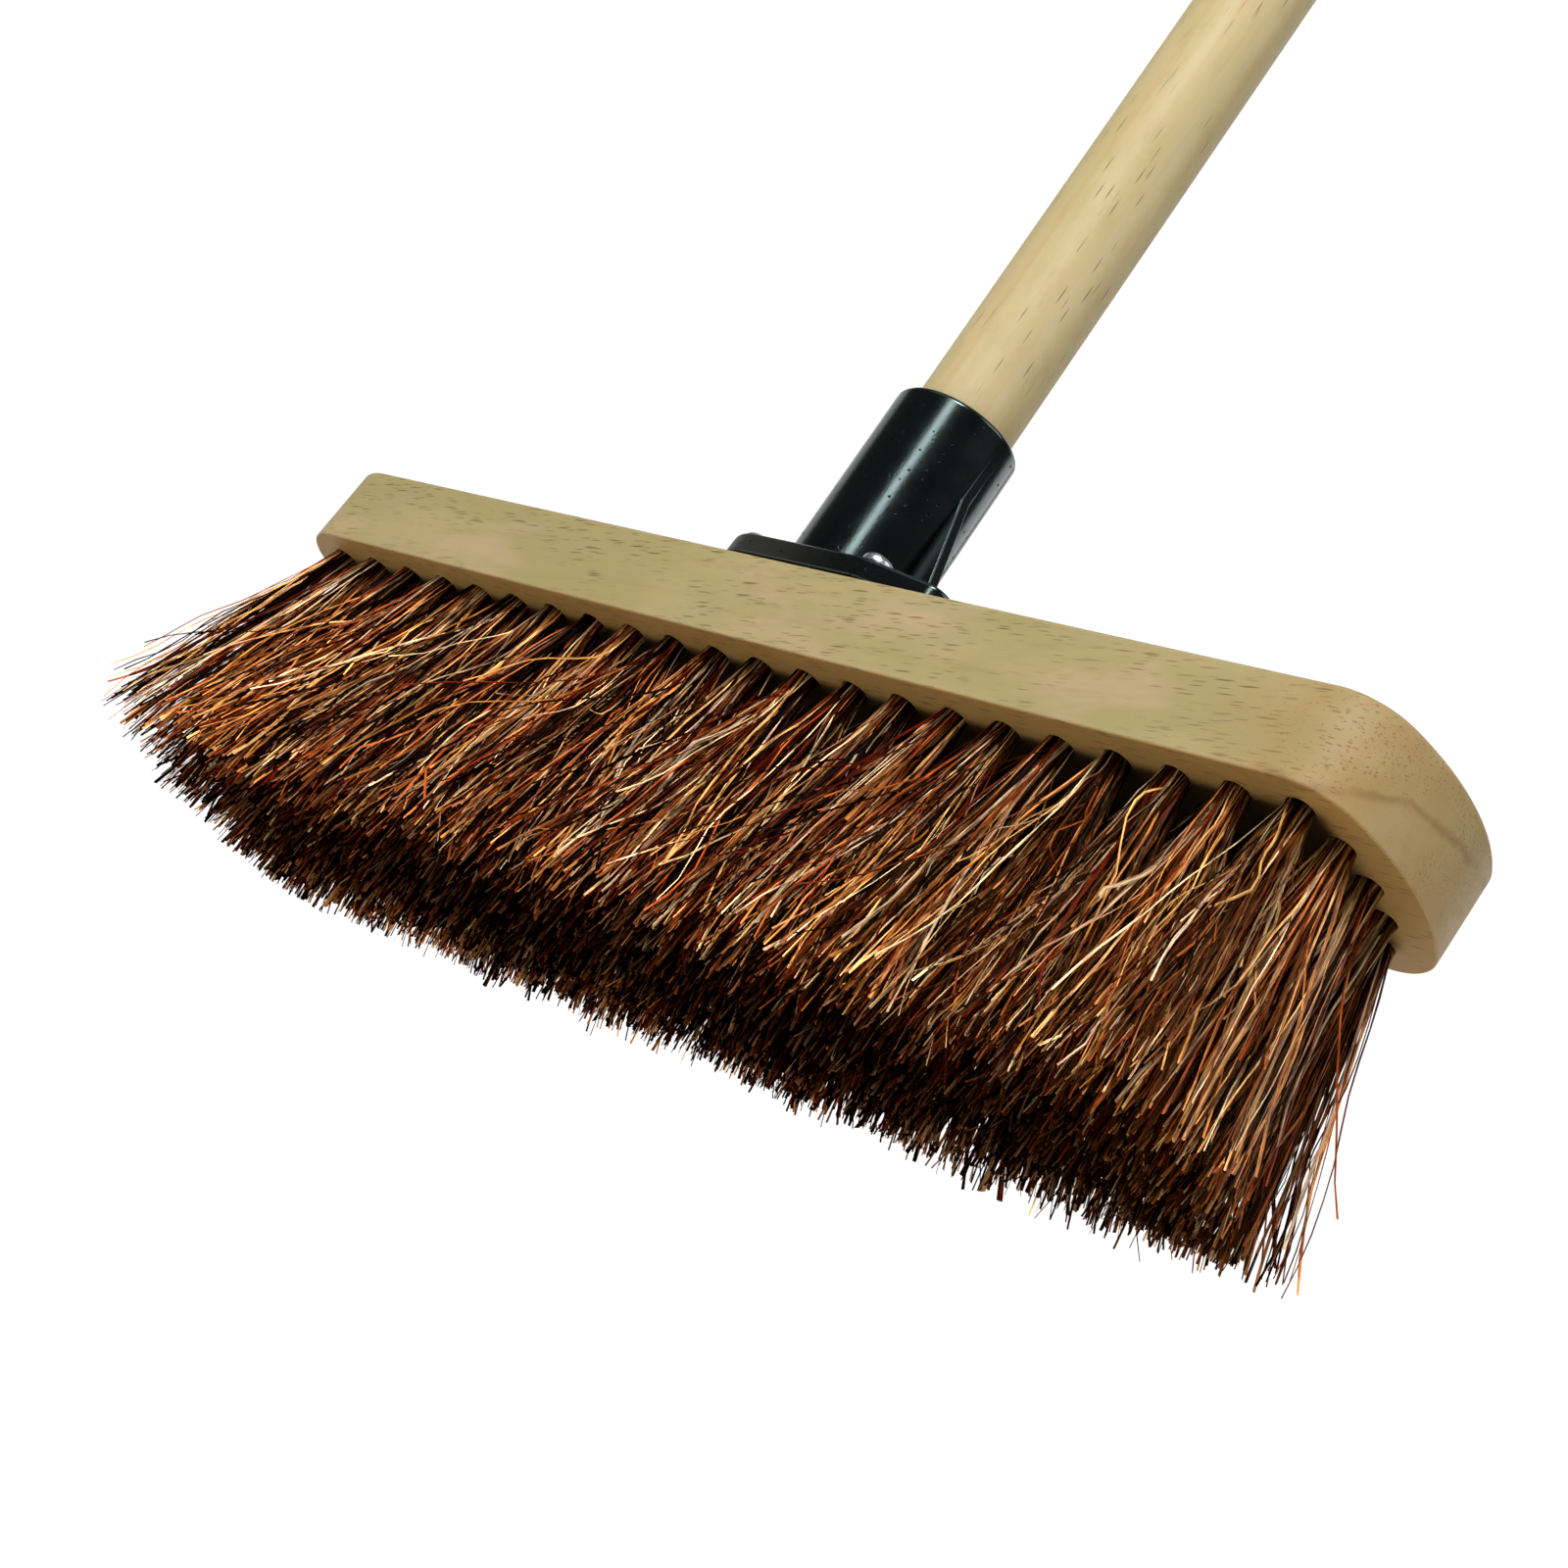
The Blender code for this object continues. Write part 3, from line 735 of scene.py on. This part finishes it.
def shaded_tones(column, row, radius, clump, stray):
    """The fibres' base colours, paler where thin, with painted shade deep inside the bristles and painted
    light along the columns, golden at the last ones.
    """
    count = len(radius)
    tone = fibre_tones(count) * np.where(radius > THICK_RADIUS, 0.62, 1.40)[:, None]
    tone *= random.uniform(0.80, 1.22, (CLUMPS_PER_TUFT, 1))[clump]
    # Painted shade: deeper fibres are darker and redder, and a few are painted as catching the light
    depth = min(row, len(TUFT_ROWS) - 1 - row, column, (COLUMN_COUNT - 1 - column) // 2)
    caught = random.random((count, 1)) < CAUGHT_SHARE
    tone *= np.where(caught, CAUGHT_TONE, DEPTH_PAINTED_SHADE[depth])
    if depth:
        tone *= INNER_SHADE_TINT
    # Painted light and shade along the columns
    tone *= np.interp(column, *zip(*COLUMN_PAINTED_LIGHT))
    # Painted golden light on the last columns, less of it deeper inside
    golden_light = (np.arange(count) * 7 % 10 / 10)[:, None] ** 2
    golden_light = golden_light * np.interp(column, (GOLDEN_LIGHT_FIRST_COLUMN, COLUMN_COUNT - 1), (0.0, GOLDEN_LIGHT_STRENGTH))
    tone += golden_light * GOLDEN_LIGHT_BY_DEPTH[depth] * screen_colour(GOLDEN_LIGHT_COLOUR)
    tone[stray] = screen_colour(STRAY_COLOUR) * random.uniform(0.5, 1.1, (STRAYS_PER_TUFT, 1))
    return tone


def fibre_paths(column, row):
    """Centre lines, thicknesses, lengths, tones and two sideways directions of the fibres of one tuft."""
    count = FIBRES_PER_TUFT[row] + STRAYS_PER_TUFT
    stray = np.arange(count) >= FIBRES_PER_TUFT[row]
    at_end = column in (0, 1, COLUMN_COUNT - 2, COLUMN_COUNT - 1)
    spot, clump = fibre_spots(count)
    down, wild = fibre_leans(column, row, spot, clump, stray, at_end)
    length = fibre_lengths(row, down, clump)
    share = np.linspace(0, 1, FIBRE_RINGS)
    travel = -FIBRE_SUNK + (length[:, None] + FIBRE_SUNK) * share[None, :]
    side = np.cross(down, random.normal(0, 1, (count, 3)))
    side /= np.linalg.norm(side, axis=1)[:, None]
    other = np.cross(down, side)
    drift = fibre_drift(travel, length, stray, wild, at_end)
    points = np.zeros((count, FIBRE_RINGS, 3))
    points[:] = np.array(tuft_root(column, row))
    points[:, :, :2] += spot[:, None, :]
    points += down[:, None, :] * travel[:, :, None]
    points += side[:, None, :] * drift[:, :, :1] + other[:, None, :] * drift[:, :, 1:]
    points[:, :, 0] = np.clip(points[:, :, 0], -BRISTLE_LIMIT_X, BRISTLE_LIMIT_X)
    points[:, :, 1] = np.clip(points[:, :, 1], -BRISTLE_LIMIT_FRONT, BRISTLE_LIMIT_Y)
    points[:, :, 2] = np.maximum(points[:, :, 2], random.uniform(*FLOOR_CLEARANCES, (count, 1)))
    radius = random.choice(FIBRE_RADII, count, p=RADIUS_SHARES)
    radius = radius * random.uniform(0.85, 1.15, count) * ROW_THICKNESS[row]
    radius = np.where(stray, STRAY_RADIUS, radius)
    tone = shaded_tones(column, row, radius, clump, stray)
    return points, radius, length, tone, side, other


def fibre_rings(points, radius, side, other):
    """Corners of the rings round each fibre's centre line: a flattened, tapering, slowly turning section."""
    count = len(points)
    share = np.linspace(0, 1, FIBRE_RINGS)
    flat = 1 + random.uniform(0, 0.75, count)
    spin = random.uniform(0, 6.28, (count, 1)) + random.normal(0, 0.9, (count, 1)) * share
    turns = 2 * math.pi * np.arange(FIBRE_SIDES) / FIBRE_SIDES
    taper = (1.0 - 0.15 * share) * random.uniform(0.75, 1.25, (count, FIBRE_RINGS))
    wide = (radius[:, None] * taper * flat[:, None])[:, :, None] * np.cos(turns)
    thin = (radius[:, None] * taper / flat[:, None])[:, :, None] * np.sin(turns)
    u = wide * np.cos(spin)[:, :, None] - thin * np.sin(spin)[:, :, None]
    v = wide * np.sin(spin)[:, :, None] + thin * np.cos(spin)[:, :, None]
    ring = points[:, :, None, :] + u[..., None] * side[:, None, None, :]
    ring += v[..., None] * other[:, None, None, :]
    slant = random.normal(0, 0.5, count)
    ring[:, -1, :, 2] = np.maximum(ring[:, -1, :, 2] + slant[:, None] * u[:, -1, :], 0.0)
    return ring


def add_tones(mesh, tone):
    """Each fibre's tone at its corners: painted shade, nearly black, near the stock, and paler at the cut
    tip.
    """
    share = np.linspace(0, 1, FIBRE_RINGS)
    # Painted shade over the first part of each fibre, near the stock; the cut tip is paler
    shade = 1.0 - 0.93 * np.clip(1.25 - share / 0.16, 0, 1) + 0.5 * np.clip((share - 0.9) / 0.1, 0, 1)
    tones = np.ones((len(tone), FIBRE_RINGS, FIBRE_SIDES, 4), np.float32)
    tones[..., :3] = tone[:, None, None, :] * shade[None, :, None, None]
    mesh.attributes.new("fibre_tone", "FLOAT_COLOR", "POINT").data.foreach_set("color", tones.ravel())


def add_places(mesh, length):
    """Texture places that run along each fibre, with a different stretch of the texture for every fibre."""
    share = np.linspace(0, 1, FIBRE_RINGS)
    turns = 2 * math.pi * np.arange(FIBRE_SIDES) / FIBRE_SIDES
    place = np.zeros((len(length), FIBRE_RINGS, FIBRE_SIDES, 3), np.float32)
    place[..., 0] = np.cos(turns) * 0.9
    place[..., 1] = np.sin(turns) * 0.9 + random.uniform(0, 900, len(length))[:, None, None]
    place[..., 2] = (length[:, None] * share * 210)[:, :, None]
    mesh.attributes.new("fibre_place", "FLOAT_VECTOR", "POINT").data.foreach_set("vector", place.ravel())


def make_bristles(column, finish):
    """All the fibres of one column of tufts as one mesh of closed tapering fibres."""
    parts = [fibre_paths(column, row) for row in range(len(TUFT_ROWS))]
    points, radius, length, tone, side, other = (np.concatenate(values) for values in zip(*parts))
    ring = fibre_rings(points, radius, side, other)
    number = np.arange(ring[..., 0].size).reshape(ring.shape[:3])
    ahead = np.roll(number, -1, axis=2)
    walls = np.stack([number[:, :-1], number[:, 1:], ahead[:, 1:], ahead[:, :-1]], -1).reshape(-1, 4)
    faces = walls.tolist() + number[:, 0, :].tolist() + number[:, -1, ::-1].tolist()
    name = f"bristles_{column + 1:02d}"
    mesh = bpy.data.meshes.new(name)
    mesh.from_pydata(ring.reshape(-1, 3).tolist(), [], faces)
    add_tones(mesh, tone)
    add_places(mesh, length)
    node = f"tuft_column_{column + 1:02d}"
    add_piece(name, mesh, finish, "broom_head", STOCK_FRAME, node, sharp=50)


# ---------------------------------------------------------------- socket, screws, handle

def flange_outline():
    """The outer boundary of the flange discs and of the straight lines that touch them, anticlockwise."""
    points = []
    for x, y, radius in FLANGE_DISCS:
        points += arc((x, y), radius, 0.0, 2 * math.pi, 96)[:-1]
    points = sorted(set((round(x, 7), round(y, 7)) for x, y in points))

    def half(ordered):
        chain = []
        for point in ordered:
            while len(chain) > 1:
                (ax, ay), (bx, by) = chain[-2], chain[-1]
                if (bx - ax) * (point[1] - ay) - (by - ay) * (point[0] - ax) > 1e-9:
                    break
                chain.pop()
            chain.append(point)
        return chain[:-1]

    return half(points) + half(points[::-1])


def tube_mesh():
    """The socket's tube, flared a little at the foot, with a rounded rim and a blind bore."""
    foot = FLANGE_THICKNESS + TUBE_FOOT_ROUND
    profile = [(0.0, 0.002), (TUBE_RADIUS + TUBE_FOOT_ROUND, 0.002)]
    profile += quarter(TUBE_RADIUS + TUBE_FOOT_ROUND, foot, TUBE_FOOT_ROUND, 270, 180)
    profile += quarter(TUBE_RADIUS - TUBE_RIM_ROUND, TUBE_HEIGHT - TUBE_RIM_ROUND, TUBE_RIM_ROUND, 0, 90)
    lip = 0.0004
    profile += quarter(BORE_RADIUS + lip, TUBE_HEIGHT - lip, lip, 90, 180, 3)
    profile += [(BORE_RADIUS, BORE_FLOOR), (0.0, BORE_FLOOR)]
    return mesh_from(lathe(profile, TUBE_SIDES))


def rib_mesh(side):
    """A triangular stiffening rib from the flange up the side of the tube, with eased edges."""
    foot = 0.0025
    inner = TUBE_RADIUS - 0.0015
    slope = RIB_REACH / (RIB_HEIGHT - FLANGE_THICKNESS)
    corners = [(inner, foot), (TUBE_RADIUS + slope * (RIB_HEIGHT - foot), foot),
               (TUBE_RADIUS - 0.0003, RIB_HEIGHT + 0.001), (inner, RIB_HEIGHT + 0.001)]
    built = bmesh.new()
    near = [built.verts.new((side * x, -RIB_THICKNESS / 2, z)) for x, z in corners]
    far = [built.verts.new((side * x, RIB_THICKNESS / 2, z)) for x, z in corners]
    built.faces.new(near)
    built.faces.new(far[::-1])
    for k in range(4):
        following = (k + 1) % 4
        built.faces.new((near[k], far[k], far[following], near[following]))
    outer = [e for e in built.edges if {e.verts[0], e.verts[1]} in ({near[1], near[2]}, {far[1], far[2]})]
    bmesh.ops.bevel(built, geom=outer, offset=0.0004, segments=3, affect="EDGES", profile=0.5)
    return mesh_from(built)


def make_socket(finish):
    low = stock_high.z + SEAT_GAP
    flange = mesh_from(rounded_prism(flange_outline(), low, low + FLANGE_THICKNESS, 0.0003, FLANGE_TOP_ROUND))
    tools = [(tube_mesh(), SOCKET_FRAME), (rib_mesh(1), SOCKET_FRAME), (rib_mesh(-1), SOCKET_FRAME)]
    mesh = combined(flange, tools, "UNION")
    socket = add_piece("moulded_socket", mesh, finish, "broom_head", Matrix(), "handle_socket", sharp=34)
    socket.modifiers.new("even shading", "WEIGHTED_NORMAL").keep_sharp = True


def screw_mesh():
    """A domed head over a pointed shank, with a tapering cross recess; the seat of the head is at Z = 0."""
    wall = 0.0007
    profile = [
        (0.0, -SCREW_LENGTH),
        (0.0003, -SCREW_LENGTH + 0.0002),
        (SCREW_SHANK_RADIUS, -SCREW_LENGTH + 0.003),
        (SCREW_SHANK_RADIUS, 0.0),
        (SCREW_HEAD_RADIUS - 0.0002, 0.0),
        (SCREW_HEAD_RADIUS, 0.0002),
    ]
    steps = 9
    for k in range(steps):
        turn = math.pi / 2 * k / steps
        rise = wall + (SCREW_HEAD_HEIGHT - wall) * math.sin(turn)
        profile.append((SCREW_HEAD_RADIUS * math.cos(turn), rise))
    profile.append((0.0, SCREW_HEAD_HEIGHT))
    long, short = RECESS_LENGTH / 2, RECESS_WIDTH / 2
    outline = []
    for k in range(4):
        spin = Matrix.Rotation(k * math.pi / 2, 2)
        outline += [tuple(spin @ Vector(p)) for p in ((long, -short), (long, short), (short, short))]
    cross = bmesh.new()
    lower = [cross.verts.new((x * 0.55, y * 0.55, SCREW_HEAD_HEIGHT - RECESS_DEPTH)) for x, y in outline]
    upper = [cross.verts.new((x, y, SCREW_HEAD_HEIGHT + 0.0005)) for x, y in outline]
    cross.faces.new(lower[::-1])
    cross.faces.new(upper)
    for k in range(len(outline)):
        following = (k + 1) % len(outline)
        cross.faces.new((lower[k], lower[following], upper[following], upper[k]))
    return combined(mesh_from(lathe(profile, 50)), [(mesh_from(cross), Matrix())], "DIFFERENCE")


def make_screws(finish):
    shape = screw_mesh()
    top = stock_high.z + SEAT_GAP + FLANGE_THICKNESS + SEAT_GAP
    for turn, (node, (x, y)) in enumerate(SCREW_PLACES.items()):
        seat = Matrix.Translation((x, y, top)) @ Matrix.Rotation(math.radians(20 + 35 * turn), 4, "Z")
        add_piece(f"{node}_zinc", shape.copy(), finish, "broom_head", seat, node)


def make_handle(finish):
    low = BORE_FLOOR + SEAT_GAP
    axis = SOCKET_FRAME.to_3x3() @ Vector((0.0, 0.0, 1.0))
    high = (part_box("handle")[1].z - stock_high.z) / axis.z
    profile = [(0.0, low), (HANDLE_RADIUS - HANDLE_CHAMFER, low), (HANDLE_RADIUS, low + HANDLE_CHAMFER * 2)]
    profile += [(HANDLE_RADIUS, z) for z in np.linspace(low + 0.06, high - 0.06, 12)]
    profile += quarter(HANDLE_RADIUS - HANDLE_DOME, high - HANDLE_DOME, HANDLE_DOME, 0, 90, 10)
    profile.append((0.0, high))
    mesh = mesh_from(lathe(profile, HANDLE_SIDES))
    add_piece("wooden_handle", mesh, finish, "handle", SOCKET_FRAME, "handle")


# ---------------------------------------------------------------- floor, light, camera

def make_floor():
    """A pale floor that fades into the white backdrop; a camera under it looks straight through it."""
    built = bmesh.new()
    level = Matrix.Translation((0.0, 0.0, -FLOOR_DROP))
    bmesh.ops.create_circle(built, cap_ends=True, segments=64, radius=FLOOR_RADIUS, matrix=level)
    mesh = bpy.data.meshes.new("floor")
    built.to_mesh(mesh)
    built.free()
    floor = bpy.data.objects.new("floor", mesh)
    bpy.context.scene.collection.objects.link(floor)
    s = Shader("pale_floor")
    place = s.own_place()
    seen = s.node("ShaderNodeLightPath", output="Is Camera Ray")
    mottle = s.noise(place, 3.0)
    bounce = s.mix(mottle, colour(236, 236, 236), colour(242, 242, 242))
    shown = s.mix(mottle, colour(176, 176, 176), colour(181, 181, 181))
    away = s.node("ShaderNodeVectorMath", {0: place}, output="Value", operation="LENGTH")
    fade = s.maths("MULTIPLY_ADD", s.band(away, 0.8, 4.0), 0.52, 0.48)
    glow = s.node("ShaderNodeMix", {0: seen, 2: 0.15, 3: fade}, data_type="FLOAT")
    tint = s.mix(seen, (1.0, 0.97, 0.92, 1.0), (1.0, 1.0, 1.0, 1.0))
    base = s.mix(seen, bounce, shown)
    s.finish(Base_Color=base, Roughness=0.9, Emission_Color=tint, Emission_Strength=glow)
    from_below = s.maths("MULTIPLY", s.node("ShaderNodeNewGeometry", output="Backfacing"), seen)
    clear = s.node("ShaderNodeBsdfTransparent")
    mixed = s.node("ShaderNodeMixShader", {0: from_below, 1: s.surface.outputs[0], 2: clear})
    s.put(s.tree.nodes["Material Output"].inputs[0], mixed)
    mesh.materials.append(s.material)


def make_world():
    """White behind the broom, and a soft light that is stronger from above than from below."""
    world = bpy.data.worlds.new("studio")
    bpy.context.scene.world = world
    world.use_nodes = True
    tree = world.node_tree
    tree.nodes.clear()

    def node(kind, **inputs):
        made = tree.nodes.new(kind)
        for key, value in inputs.items():
            if isinstance(value, bpy.types.NodeSocket):
                tree.links.new(value, made.inputs[key])
            else:
                made.inputs[key].default_value = value
        return made

    place = node("ShaderNodeTexCoord").outputs["Generated"]
    height = node("ShaderNodeSeparateXYZ", Vector=place).outputs["Z"]
    rise = node("ShaderNodeMapRange", Value=height)
    rise.inputs["From Min"].default_value = -0.4
    rise.inputs["From Max"].default_value = 0.8
    rise.inputs["To Min"].default_value = 0.02
    rise.inputs["To Max"].default_value = 0.10
    soft = node("ShaderNodeBackground", Strength=rise.outputs[0], Color=(1.0, 0.99, 0.97, 1.0))
    white = node("ShaderNodeBackground", Strength=1.05, Color=(1.0, 1.0, 1.0, 1.0))
    seen = node("ShaderNodeLightPath").outputs["Is Camera Ray"]
    mixed = tree.nodes.new("ShaderNodeMixShader")
    tree.links.new(seen, mixed.inputs[0])
    tree.links.new(soft.outputs[0], mixed.inputs[1])
    tree.links.new(white.outputs[0], mixed.inputs[2])
    tree.links.new(mixed.outputs[0], node("ShaderNodeOutputWorld").inputs["Surface"])


def make_lights():
    """Soft boxes aimed at the head. Azimuth is the side one stands on, in degrees from +X towards +Y."""
    for name, (azimuth, elevation, distance, width, height, power) in SOFT_BOXES.items():
        lamp = bpy.data.lights.new(name, "AREA")
        lamp.shape = "RECTANGLE"
        lamp.size = width
        lamp.size_y = height
        lamp.energy = power
        made = bpy.data.objects.new(name, lamp)
        bpy.context.scene.collection.objects.link(made)
        a, e = math.radians(azimuth), math.radians(elevation)
        away = Vector((math.cos(a) * math.cos(e), math.sin(a) * math.cos(e), math.sin(e)))
        made.location = STOCK_MIDDLE + away * distance
        made.rotation_euler = away.to_track_quat("Z", "Y").to_euler()


def make_camera():
    lens = bpy.data.cameras.new("camera")
    lens.lens = CAMERA_LENS
    lens.sensor_width = 36.0
    lens.clip_start = 0.01
    camera = bpy.data.objects.new("camera", lens)
    bpy.context.scene.collection.objects.link(camera)
    a, e = math.radians(CAMERA_AZIMUTH), math.radians(CAMERA_ELEVATION)
    back = Vector((math.sin(a) * math.cos(e), -math.cos(a) * math.cos(e), math.sin(e)))
    turn = back.to_track_quat("Z", "Y").to_matrix() @ Matrix.Rotation(math.radians(CAMERA_ROLL), 3, "Z")
    camera.matrix_world = Matrix.Translation(CAMERA_AIM + back * CAMERA_DISTANCE) @ turn.to_4x4()
    bpy.context.scene.camera = camera


make_stock(stock_wood())
fibre = fibre_material()
for column in range(COLUMN_COUNT):
    make_bristles(column, fibre)
make_socket(black_plastic())
make_screws(zinc_steel())
make_handle(handle_wood())
make_floor()
make_world()
make_lights()
make_camera()
bpy.context.scene.view_settings.view_transform = "Standard"
